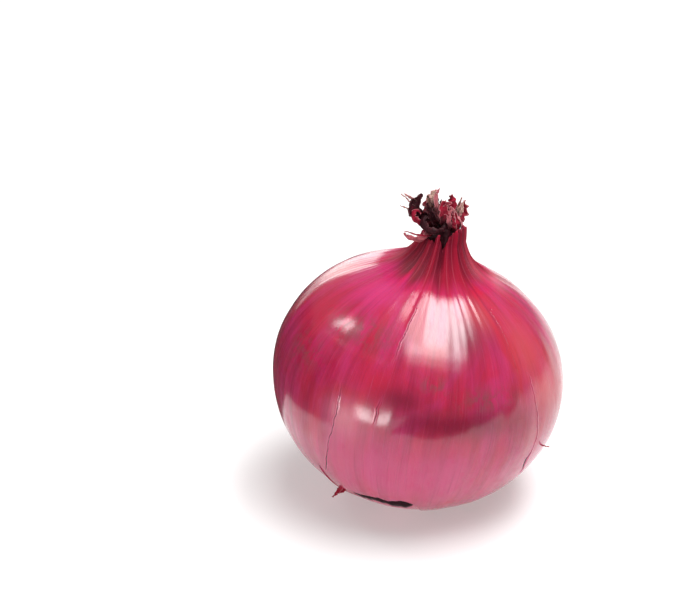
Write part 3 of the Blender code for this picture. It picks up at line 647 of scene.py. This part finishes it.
# Each strip: path from root to tip in mm from the middle of the mouth with Z along the neck,
# width in mm, how far it rolls up, the way its convex side faces at root and tip in degrees,
# and its tone: 0 near-black maroon, 0.35 crimson, 0.6 pink, 0.8 straw, 1 grey-brown
STRIPS = {
    "left_roll": (
        ((-2.4, -0.8, 2.6), (-5.2, -1.4, 4.8), (-7.6, -2.0, 6.2), (-8.9, -2.2, 7.6), (-9.2, -2.2, 9.2),
         (-8.4, -2.0, 10.6), (-7.7, -1.7, 12.0)), 4.4, 160, 110, 60, 0.02),
    "left_dark": (
        ((-1.2, -0.8, 3.4), (-3.2, -1.6, 5.4), (-5.0, -2.4, 8.0), (-6.2, -2.4, 10.0)),
        2.8, 150, 100, 70, 0.04),
    "left_curl": (
        ((-2.2, -1.2, 2.6), (-4.6, -2.0, 4.1), (-7.0, -2.9, 4.3), (-8.7, -3.3, 5.1), (-9.5, -3.4, 6.6),
         (-8.7, -3.4, 7.6), (-7.3, -3.2, 7.0)), 2.0, 100, -100, -160, 0.38),
    "left_hook": (
        ((-1.8, -1.4, 2.2), (-3.4, -3.2, 2.0), (-4.9, -4.4, 1.5), (-6.5, -4.8, 0.2), (-8.4, -4.2, -0.2),
         (-10.1, -3.6, 0.2), (-10.9, -3.4, 0.9)), 2.0, 150, -60, -110, 0.56),
    "left_spike": (
        ((-8.8, -2.0, 9.6), (-9.7, -2.1, 10.2), (-11.2, -2.1, 10.9), (-12.6, -2.0, 11.5)),
        0.8, 90, 60, 90, 0.72),
    "front_fold": (
        ((-3.4, -1.0, 6.2), (-5.8, -2.2, 6.6), (-6.7, -3.6, 5.0), (-5.3, -4.7, 3.4), (-3.2, -5.2, 3.1),
         (-1.5, -4.5, 3.3), (0.2, -2.6, 3.6)), 2.2, 120, -150, -60, 0.05),
    "front_red": (
        ((0.2, -1.4, 3.4), (-0.8, -2.6, 6.0), (-1.5, -2.8, 8.6), (-2.1, -2.6, 10.4), (-1.2, -2.3, 11.2)),
        3.0, 150, 80, 110, 0.34),
    "red_crest": (
        ((0.4, -0.8, 4.2), (0.0, -1.8, 7.1), (-0.8, -2.4, 9.6), (-0.9, -2.8, 10.7), (0.4, -2.8, 11.0)),
        1.6, 130, 100, 60, 0.50),
    "tall_pale": (
        ((-1.4, -1.0, 3.4), (-2.7, -2.1, 6.2), (-3.5, -2.4, 9.4), (-4.1, -2.4, 12.0), (-4.0, -2.2, 13.3),
         (-3.4, -2.0, 14.4)), 1.3, 140, 40, 120, 0.66),
    "tall_flake": (
        ((-3.3, -2.2, 8.8), (-4.4, -2.0, 11.2), (-4.7, -1.8, 12.6), (-3.9, -1.7, 13.6)),
        2.2, 80, 100, 60, 0.80),
    "tall_brown": (
        ((-1.4, 0.0, 4.2), (-3.2, -0.4, 6.0), (-4.4, -0.6, 8.2), (-5.4, -0.2, 10.2), (-5.9, 0.2, 11.4)),
        3.0, 140, 120, 70, 0.96),
    "tall_strand": (
        ((0.0, 0.0, 4.2), (-1.4, 0.2, 6.0), (-2.0, 0.4, 8.4), (-2.2, 0.8, 10.2)),
        1.4, 80, 90, 20, 0.10),
    "right_rim": (
        ((2.2, -0.8, 2.4), (3.6, -1.5, 3.8), (4.3, -1.8, 4.9), (3.5, -2.1, 6.2), (2.3, -2.4, 7.8),
         (1.3, -2.6, 9.0), (-0.1, -2.8, 9.7)), 1.7, 120, -30, 60, 0.60),
    "right_loop": (
        ((1.8, -1.6, 2.4), (2.6, -2.4, 3.6), (2.4, -2.9, 5.6), (1.8, -2.9, 7.4), (0.9, -2.7, 8.9)),
        2.6, 110, -80, -90, 0.40),
    "right_fold": (
        ((0.5, -1.8, 2.4), (0.7, -3.0, 4.4), (0.3, -3.3, 6.2), (0.3, -3.1, 8.2), (0.7, -2.9, 9.7)),
        1.3, 120, -120, -60, 0.58),
    "right_strand": (
        ((1.2, 0.4, 4.2), (2.2, 0.0, 6.4), (2.4, -0.2, 8.4), (2.7, -0.3, 10.2), (3.0, -0.2, 12.0)),
        1.0, 110, 90, 40, 0.92),
    "right_wisp": (
        ((1.6, -0.6, 4.4), (2.5, -1.0, 6.8), (2.6, -1.2, 8.8), (3.1, -1.4, 10.2), (3.7, -1.2, 11.6)),
        1.0, 90, 60, 120, 0.82),
    "right_tassel": (
        ((2.0, -0.8, 4.8), (2.9, -1.2, 6.8), (3.3, -1.4, 8.4), (3.4, -1.4, 9.6), (2.9, -1.2, 10.8)),
        1.1, 80, 90, 130, 0.88),
    "right_hook": (
        ((2.2, 1.0, 1.8), (3.4, 2.8, 2.6), (4.0, 4.6, 2.6), (4.2, 6.0, 4.6)),
        2.2, 110, -90, -60, 0.44),
    "back_fold": (
        ((2.0, 1.6, 4.6), (3.4, 4.2, 5.2), (1.4, 5.4, 4.0), (-1.4, 5.0, 4.0), (-2.4, 2.0, 4.6)),
        3.0, 110, 30, 130, 0.12),
    "back_tall": (
        ((0.8, 1.2, 4.0), (1.6, 2.8, 7.0), (1.2, 3.2, 9.2), (0.4, 2.8, 11.2)),
        3.0, 150, -90, -60, 0.30),
    "back_left": (
        ((-1.6, 1.4, 2.8), (-4.2, 3.2, 5.2), (-5.0, 4.0, 7.8), (-4.2, 3.8, 10.2)),
        3.4, 150, -60, -20, 0.20),
    "back_right": (
        ((2.2, 1.6, 2.4), (3.8, 3.0, 4.6), (4.6, 3.6, 7.2), (4.0, 3.2, 9.8)),
        3.0, 140, -140, -160, 0.46),
    "back_hook": (
        ((0.4, 2.4, 1.6), (0.8, 4.8, 2.6), (1.2, 7.0, 2.4), (1.6, 9.0, 3.8)),
        2.2, 90, 80, 100, 0.50),
    "back_low": (
        ((-2.2, 1.6, 1.8), (-4.4, 3.0, 2.4), (-6.4, 4.2, 2.2), (-8.4, 5.0, 4.0)),
        2.4, 110, 60, 120, 0.15),
}
WISPS = 16
WISP_SEED = 12
WISP_THICKNESS = 0.00012
FLAP_THICKNESS = 0.00014

# The dark stub between the strips, in mm, and its grid
CORE_RADIUS = 4.3
CORE_FOOT = -4.0
CORE_TOP = 6.2
CORE_STEPS = 26
CORE_TURNS = 72


def along_path(points, shares):
    """Points of the smooth curve through all the points, at each share of its length."""
    held = np.array([points[0], *points, points[-1]], float)
    place = np.clip(shares, 0, 1) * (len(points) - 1)
    start = np.minimum(place.astype(int), len(points) - 2)
    place = (place - start)[:, None]
    before, first, last, after = (held[start + i] for i in range(4))
    bend = 2 * before - 5 * first + 4 * last - after
    twist = 3 * first - before - 3 * last + after
    return (2 * first + (last - before) * place + bend * place ** 2 + twist * place ** 3) / 2


def unit(vectors):
    return vectors / np.maximum(np.linalg.norm(vectors, axis=-1, keepdims=True), 1e-12)


def blade(path, width, cup, facing, seed, steps=LEAF_STEPS, sides=LEAF_SIDES, thickness=LEAF_THICKNESS,
          crumple=0.42, fray=0.13, taper=TAPER_POWER):
    """One thin crumpled strip as (points in mm, faces, side across, share along)."""
    draw = np.random.RandomState(seed)
    shares = np.linspace(0, 1, steps)
    spot = along_path(path, shares)
    along = unit(along_path(path, shares + 0.02) - along_path(path, shares - 0.02))
    turn = np.radians(mix(facing[0], facing[1], shares))
    across = unit(np.cross(along, np.stack([np.cos(turn), np.sin(turn), 0 * turn], -1)))
    outward = np.cross(across, along)
    phases = draw.uniform(0, 2 * math.pi, 8)
    side = np.linspace(-1, 1, sides)[None, :]
    down = shares[:, None]
    frayed = 1 + fray * np.sin(2 * math.pi * (4.3 * down + 0.6 * side) + phases[0])
    frayed += 0.5 * fray * np.sin(2 * math.pi * (11.0 * down + side) + phases[1])
    belly = STRIP_FOOT + STRIP_BELLY * np.sin(math.pi * down)
    spread = width * belly * (1 - STRIP_TAPER * down ** taper) * frayed
    rolled = np.minimum(math.radians(cup) * mix(FIRST_ROLL, 1.3, down), spread * MM / TIGHTEST_ROLL)
    bow = spread / rolled
    bend = rolled / 2 * side
    lift = 0.5 * np.sin(2 * math.pi * 2.6 * down + phases[2])
    lift = lift + 0.35 * np.sin(2 * math.pi * 5.7 * down + phases[3])
    frill = side ** 3 * np.sin(2 * math.pi * 4.2 * down + phases[4])
    frill = frill + 0.6 * side ** 2 * np.sin(2 * math.pi * 7.7 * down + phases[5])
    wrinkle = 0.22 * np.sin(2 * math.pi * (1.4 * side + 0.8 * down) + phases[6])
    wrinkle = wrinkle + 0.12 * np.sin(2 * math.pi * (2.9 * side + 6.5 * down) + phases[7])
    raised = crumple * down ** 0.7 * (0.6 * lift + 0.8 * frill) * min(1.0, width / 2.5)
    raised = raised + crumple * 0.6 * wrinkle
    surfaces = []
    for face in (0.5, -0.5):
        level = bow + face * thickness / MM
        offset = across[:, None] * (level * np.sin(bend))[..., None]
        offset = offset + outward[:, None] * (level * np.cos(bend) - bow + raised)[..., None]
        surfaces.append(spot[:, None] + offset)
    outer, inner = surfaces
    ring = np.concatenate([outer, inner[:, ::-1]], axis=1)
    faces = grid_faces(steps, 2 * sides)
    both = np.concatenate([side, side[:, ::-1]], axis=1)
    return (ring.reshape(-1, 3), faces, (both + 0 * down).ravel(), (down + 0 * both).ravel())


def strips_with_wisps():
    """Every strip of the tuft, then thin wisps that grow beside them."""
    made = []
    for seed, (path, width, cup, first, last, tone) in enumerate(STRIPS.values()):
        made.append((blade(path, width, cup, (first, last), 100 + seed), tone))
    draw = np.random.RandomState(WISP_SEED)
    tables = list(STRIPS.values())
    for i in range(WISPS):
        path, *_, tone = tables[draw.randint(len(tables))]
        shift = np.linspace(0, 1, len(path))[:, None] * draw.normal(0, 0.7, 3)
        moved = np.array(path) * (1, 1, draw.uniform(0.7, 0.95)) + shift
        moved += draw.normal(0, 0.25, (len(path), 3))
        moved[:, 2] = np.clip(moved[:, 2], 1.6, 15.6)
        narrow = draw.uniform(0.4, 0.9)
        turn = draw.uniform(0, 360)
        shade = float(np.clip(tone + draw.normal(0, 0.2), 0, 1))
        cup = draw.uniform(60, 160)
        facing = (turn, turn + draw.uniform(-90, 90))
        made.append((blade(moved, narrow, cup, facing, 300 + i, steps=26, sides=5,
                           thickness=WISP_THICKNESS, crumple=0.8), shade))
    return made


def neck_leaves():
    points, faces, tones, edges, shares = [], [], [], [], []
    count = 0
    for (spots_mm, blade_faces, side, share), tone in strips_with_wisps():
        points.append(spots_mm)
        faces.extend([[count + i for i in face] for face in blade_faces])
        tones.append(np.full(len(spots_mm), tone))
        edges.append(np.abs(side))
        shares.append(share)
        count += len(spots_mm)
    local = np.concatenate(points) * MM
    matrix = neck_matrix()
    world = local @ matrix[:3, :3].T + matrix[:3, 3]
    fields = {"tone": np.concatenate(tones), "edge": np.concatenate(edges), "share": np.concatenate(shares),
              "lie": local / MM}
    return mesh_object("neck_leaves", world, faces, fields)


def neck_core():
    """The dark crumpled stub between the roots of the strips."""
    share = np.linspace(0, 1, CORE_STEPS)[:, None]
    azimuth = np.linspace(-math.pi, math.pi, CORE_TURNS, endpoint=False)[None, :]
    radius = CORE_RADIUS * np.sqrt(np.clip(1 - share ** 2.2, 0.0004, 1)) + 0 * azimuth
    height = mix(CORE_FOOT, CORE_TOP, share) + 0 * azimuth
    points = np.stack([radius * np.cos(azimuth), radius * np.sin(azimuth), height], -1)
    folds = 0.45 * ripple(points * (1, 1, 0.25), 2.6, 31, 30) + 0.2 * ripple(points, 1.2, 32, 30)
    points[..., :2] *= (1 + folds * 0.22)[..., None]
    points[..., 2] += 0.7 * folds * share
    matrix = neck_matrix()
    local = points.reshape(-1, 3) * MM
    faces = grid_faces(CORE_STEPS, CORE_TURNS)
    fields = {"tone": np.full(len(local), 0.08), "edge": np.zeros(len(local)), "share": np.zeros(len(local)),
              "lie": local / MM}
    return mesh_object("neck_core", local @ matrix[:3, :3].T + matrix[:3, 3], faces, fields)


LEAF_BLACK = (0.022, 0.001, 0.004)
LEAF_MAROON = (0.080, 0.004, 0.013)
LEAF_CRIMSON = (0.36, 0.008, 0.034)
LEAF_PINK = (0.56, 0.15, 0.18)
LEAF_STRAW = (0.62, 0.42, 0.34)
LEAF_BROWN = (0.24, 0.13, 0.10)
LEAF_RIM = (0.62, 0.26, 0.28)


def leaf_material():
    paint = Paint("dry_leaf")
    tone = paint.field("tone")
    lie = paint.field("lie", vector=True)
    grain = paint.noise(paint.stretch(lie, (1, 1, 0.3)), 2.2, 4, 0.6)
    blotches = paint.noise(lie, 0.55, 4, 0.6, 0.4)
    colour = paint.blend(paint.span(tone, 0.05, 0.34), LEAF_BLACK, LEAF_CRIMSON)
    colour = paint.blend(paint.span(tone, 0.42, 0.62), colour, LEAF_PINK)
    colour = paint.blend(paint.span(tone, 0.64, 0.80), colour, LEAF_STRAW)
    colour = paint.blend(paint.span(tone, 0.84, 1.0), colour, LEAF_BROWN)
    colour = paint.blend(paint.span(blotches, 0.5, 0.7, 0.0, 0.6), colour, LEAF_MAROON)
    colour = paint.blend(paint.span(grain, 0.42, 0.72, 0.0, 0.5), colour, LEAF_MAROON)
    rim = paint.span(paint.field("edge"), 0.7, 0.98)
    rim = paint.sum("MULTIPLY", rim, paint.span(tone, 0.25, 0.42, 0.12, 0.8))
    colour = paint.blend(rim, colour, LEAF_RIM)
    root = paint.sum("ADD", paint.field("share"), paint.span(blotches, 0.3, 0.7, -0.12, 0.12))
    colour = paint.blend(paint.span(root, 0.15, 0.5, 0.9, 0.0), colour, LEAF_BLACK)
    normal = paint.bump(grain, 0.0002)
    return paint.finish(colour, paint.span(grain, 0.3, 0.7, 0.42, 0.7), normal, Specular_IOR_Level=0.2,
                        Subsurface_Weight=0.05, Subsurface_Scale=0.001)


# The root end

ROOT_FIBRES = 84
ROOT_STEPS = 16
ROOT_SIDES = 7
ROOT_SEED = 5

# Sizes in mm
PLATE_RADIUS = 5.4
PLATE_UNDER = 1.9
PLATE_OVER = 3.0
PLATE_BULGE = 0.25
ROOT_SPREAD = 4.9
ROOT_START = 2.3
ROOT_REACH = 11.5
ROOT_MARGIN = 0.9

ROOT_TAN = (0.30, 0.17, 0.07)
ROOT_STRAW = (0.58, 0.42, 0.24)
ROOT_SHADE = (0.13, 0.065, 0.03)


def root_fibres():
    draw = np.random.RandomState(ROOT_SEED)
    points, faces, tones = [], [], []
    count = 0
    golden = math.pi * (3 - math.sqrt(5))
    for i in range(ROOT_FIBRES):
        share = np.linspace(0, 1, ROOT_STEPS)
        start = ROOT_SPREAD * math.sqrt((i + 0.5) / ROOT_FIBRES)
        turn = i * golden + draw.uniform(-0.7, 0.7) * share ** 1.5
        turn = turn + 0.25 * np.sin(share * 9 + draw.uniform(0, 6))
        limit = min(ROOT_REACH, float(tear(np.array(i * golden))) / MM - ROOT_MARGIN)
        reach = max(1.0, (limit - start) * draw.uniform(0.45, 1.0))
        radius = start + reach * share ** 1.3
        low = draw.uniform(0.45, 1.2)
        height = mix(ROOT_START, low, smooth(0, 0.55, share))
        height = height + 0.3 * np.sin(share * 8 + draw.uniform(0, 6)) * share
        girth = draw.uniform(0.20, 0.38) * (1 - 0.7 * share)
        centre = np.stack([radius * np.cos(turn), radius * np.sin(turn), np.maximum(height, girth + 0.1)], -1)
        along = unit(np.gradient(centre, axis=0))
        side = unit(np.cross(along, (0.3, 0.1, 1.0)))
        other = np.cross(along, side)
        around = np.linspace(0, 2 * math.pi, ROOT_SIDES, endpoint=False)
        ring = centre[:, None] + (side[:, None] * np.cos(around)[None, :, None]
                                  + other[:, None] * np.sin(around)[None, :, None]) * girth[:, None, None]
        points.append(ring.reshape(-1, 3))
        faces.extend([[count + k for k in face] for face in grid_faces(ROOT_STEPS, ROOT_SIDES)])
        tones.append(np.full(ring.shape[0] * ring.shape[1], draw.uniform(0, 1)))
        count += ring.shape[0] * ring.shape[1]
    local = np.concatenate(points)
    return mesh_object("root_fibres", local * MM, faces, {"tone": np.concatenate(tones), "lie": local})


def root_plate():
    rings, turns = 22, 64
    share = np.linspace(0.02, 1, rings)[:, None]
    azimuth = np.linspace(-math.pi, math.pi, turns, endpoint=False)[None, :]
    surfaces = []
    for level, bulge in ((PLATE_UNDER, -PLATE_BULGE), (PLATE_OVER, 0.0)):
        radius = PLATE_RADIUS * share + 0 * azimuth
        height = level + bulge * (1 - share ** 2) + 0 * azimuth
        points = np.stack([radius * np.cos(azimuth), radius * np.sin(azimuth), height], -1)
        if bulge:
            points[..., 2] += 0.28 * ripple(points, 1.5, 41, 30) * (1 - share ** 6)
        surfaces.append(points)
    under, over = surfaces
    points = np.concatenate([under, over[::-1]]).reshape(-1, 3)
    faces = grid_faces(2 * rings, turns)
    return mesh_object("root_plate", points * MM, [face[::-1] for face in faces],
                       {"tone": np.full(len(points), 0.5), "lie": points})


def root_material():
    paint = Paint("dry_root")
    lie = paint.field("lie", vector=True)
    grain = paint.noise(lie, 1.8, 5, 0.65)
    colour = paint.blend(paint.field("tone"), ROOT_TAN, ROOT_STRAW)
    colour = paint.blend(paint.span(grain, 0.45, 0.72, 0.0, 0.7), colour, ROOT_SHADE)
    return paint.finish(colour, paint.span(grain, 0.3, 0.7, 0.75, 0.95), paint.bump(grain, 0.0003))


# Loose points of torn skin: azimuth and angle in degrees, path in mm down the skin and away from
# it, width in mm, how far it rolls up
FLAPS = (
    (-134.5, 45, ((0, 0, -0.6), (0.5, -0.2, 0.3), (0.9, -0.7, 1.7), (1.2, -1.3, 3.3)), 2.2, 60),
    (-131, 44.5, ((0, 0, -0.5), (0.2, -0.6, 0.4), (0.5, -1.4, 1.0), (0.8, -2.2, 1.7)), 1.2, 60),
    (-30, 79, ((0, 0, -0.5), (0.1, 0.2, 0.3), (0.0, 0.6, 1.3), (-0.1, 1.1, 2.2)), 0.8, 90),
    (98, 42, ((0, 0, -0.6), (1.8, 0, 0.0), (3.4, -0.3, 0.9), (4.4, -0.6, 2.2)), 2.8, 90),
    (130, 60, ((0, 0, -0.4), (1.4, 0, 0.0), (2.6, 0.3, 0.6), (3.4, 0.5, 1.4)), 1.6, 90),
    (23, 56, ((0, 0, -0.4), (1.2, 0, 0.0), (2.4, -0.3, 0.6), (3.2, -0.5, 1.5)), 1.5, 90),
)


def skin_flaps():
    points, faces, edges = [], [], []
    count = 0
    for seed, (azimuth, angle, path, width, cup) in enumerate(FLAPS):
        at, up = np.radians([azimuth]), np.radians([angle])
        skin = body_points(at, up)[0]
        down = unit(body_points(at, up - 0.01)[0] - skin)
        inward = body_points(at, up, 0.0003)[0] - skin
        side = unit(np.cross(down, inward))
        away = np.cross(down, side)
        spots_mm, blade_faces, sides, _ = blade(path, width, cup, (180, 180), 500 + seed, steps=24, sides=9,
                                                thickness=FLAP_THICKNESS, crumple=0.25, taper=1.3)
        points.append(skin + (spots_mm @ np.stack([down, side, away])) * MM)
        faces.extend([[count + i for i in face] for face in blade_faces])
        edges.append(np.abs(sides))
        count += len(spots_mm)
    world = np.concatenate(points)
    fields = {"tone": np.full(len(world), 0.34), "edge": np.concatenate(edges),
              "share": np.ones(len(world)), "lie": world / MM}
    return mesh_object("skin_flaps", world, faces, fields)


# Camera, floor and light

CAMERA_ELEVATION = math.radians(25)
CAMERA_DISTANCE = 0.53
CAMERA_LENS = 100
SENSOR_WIDTH = 36
PHOTO_CENTRE = (344.5, 304.5)
GIRTH_PIXEL = (418.0, 372.0)
PIXELS_PER_METRE = 3610

FLOOR_HALF = 3.0
FLOOR_LEVEL = -0.0001
CARD_LEVEL = 0.0005
FLOOR_GREY = (0.66, 0.66, 0.66)
FLOOR_GLOW = (1.0, 0.985, 0.97, 1.0)
CARD_GREY = (0.02, 0.02, 0.02)
SKY = (1.0, 0.99, 0.98, 1.0)

# Each light: name, direction from the middle of the bulb, distance and size in metres, brightness,
# and the way its tall side stands
UPRIGHT = (0, 0, 1)
BACKWARD = (0, 1, 0)
LIGHTS = (
    ("key", (0.199, -0.113, 0.974), 0.8, (0.57, 0.73), 5.2, BACKWARD),
    ("key_core", (0.300, -0.017, 0.954), 0.8, (0.25, 0.66), 6.4, BACKWARD),
    ("key_front", (0.200, -0.520, 0.831), 0.8, (0.42, 0.24), 2.4, BACKWARD),
    ("back", (-0.15, 0.96, 0.22), 0.8, (0.28, 0.42), 2.4, UPRIGHT),
    ("left", (-0.66, 0.17, 0.73), 0.6, (0.05, 0.11), 13, UPRIGHT),
    ("front_left", (-0.57, -0.82, -0.03), 0.29, (0.085, 0.06), 9, UPRIGHT),
)


def camera():
    back = Vector((0, -math.cos(CAMERA_ELEVATION), math.sin(CAMERA_ELEVATION)))
    up = Vector((0, math.sin(CAMERA_ELEVATION), math.cos(CAMERA_ELEVATION)))
    right = Vector((1, 0, 0))
    girth = Vector((0, 0, GIRTH_LEVEL))
    aside = (GIRTH_PIXEL[0] - PHOTO_CENTRE[0]) / PIXELS_PER_METRE
    below = (GIRTH_PIXEL[1] - PHOTO_CENTRE[1]) / PIXELS_PER_METRE
    data = bpy.data.cameras.new("camera")
    data.lens = CAMERA_LENS
    data.sensor_width = SENSOR_WIDTH
    data.clip_start = 0.01
    made = bpy.data.objects.new("camera", data)
    made.location = girth - right * aside + up * below + back * CAMERA_DISTANCE
    made.rotation_mode = "QUATERNION"
    made.rotation_quaternion = (-back).to_track_quat("-Z", "Y")
    bpy.context.scene.collection.objects.link(made)
    bpy.context.scene.camera = made


def area_light(name, towards, distance, size, radiance, tall):
    """A softbox in a direction from the middle of the bulb, as bright as asked whatever its size."""
    data = bpy.data.lights.new(name, "AREA")
    data.shape = "RECTANGLE"
    data.size, data.size_y = size
    data.energy = radiance * math.pi * size[0] * size[1]
    made = bpy.data.objects.new(name, data)
    aim = Vector(towards).normalized()
    upright = (Vector(tall) - aim * aim.dot(Vector(tall))).normalized()
    turn = Matrix((upright.cross(aim), upright, aim)).transposed()
    made.location = Vector((0, 0, GIRTH_LEVEL)) + aim * distance
    made.rotation_mode = "QUATERNION"
    made.rotation_quaternion = turn.to_quaternion()
    bpy.context.scene.collection.objects.link(made)


def level_corners(left, right, front, back, height):
    return [(left, front, height), (right, front, height), (right, back, height), (left, back, height)]


def flag(name, corners):
    """A dark card that only the gloss of the waxy skin sees, and reflects."""
    card = mesh_object(name, corners, [[0, 1, 2, 3]], smooth_shading=False)
    card.data.materials.append(Paint(name).finish(CARD_GREY, 0.9))
    card.visible_camera = False
    card.visible_shadow = False
    card.visible_diffuse = False


def stage():
    corners = level_corners(-FLOOR_HALF, FLOOR_HALF, -FLOOR_HALF, FLOOR_HALF, FLOOR_LEVEL)
    floor = mesh_object("floor", corners, [[0, 1, 2, 3]], smooth_shading=False)
    floor.data.materials.append(Paint("floor").finish(
        FLOOR_GREY, 0.9, Emission_Color=FLOOR_GLOW, Emission_Strength=0.34, Specular_IOR_Level=0.0))
    flag("front_flag", level_corners(-0.04, 0.8, -1.2, -0.12, CARD_LEVEL))
    flag("left_flag", [(-0.10, -0.05, 0.001), (-0.10, 0.14, 0.001), (-0.10, 0.14, 0.09),
                       (-0.10, -0.05, 0.09)])
    flag("back_flag", level_corners(-0.30, -0.02, 0.03, 0.4, CARD_LEVEL))

    for light in LIGHTS:
        area_light(*light)

    world = bpy.data.worlds.new("studio")
    world.use_nodes = True
    world.node_tree.nodes["Background"].inputs["Color"].default_value = SKY
    world.node_tree.nodes["Background"].inputs["Strength"].default_value = 0.22
    bpy.context.scene.world = world
    bpy.context.scene.view_settings.view_transform = "Standard"


camera()
stage()
skin_paint = skin_material()
leaf_paint = leaf_material()
root_paint = root_material()
belongs(onion_skin(), "bulb", skin_paint)
belongs(skin_flaps(), "bulb", leaf_paint)
belongs(neck_leaves(), "dry_neck", leaf_paint)
belongs(neck_core(), "dry_neck", leaf_paint)
belongs(root_fibres(), "root_tuft", root_paint)
belongs(root_plate(), "root_tuft", root_paint)
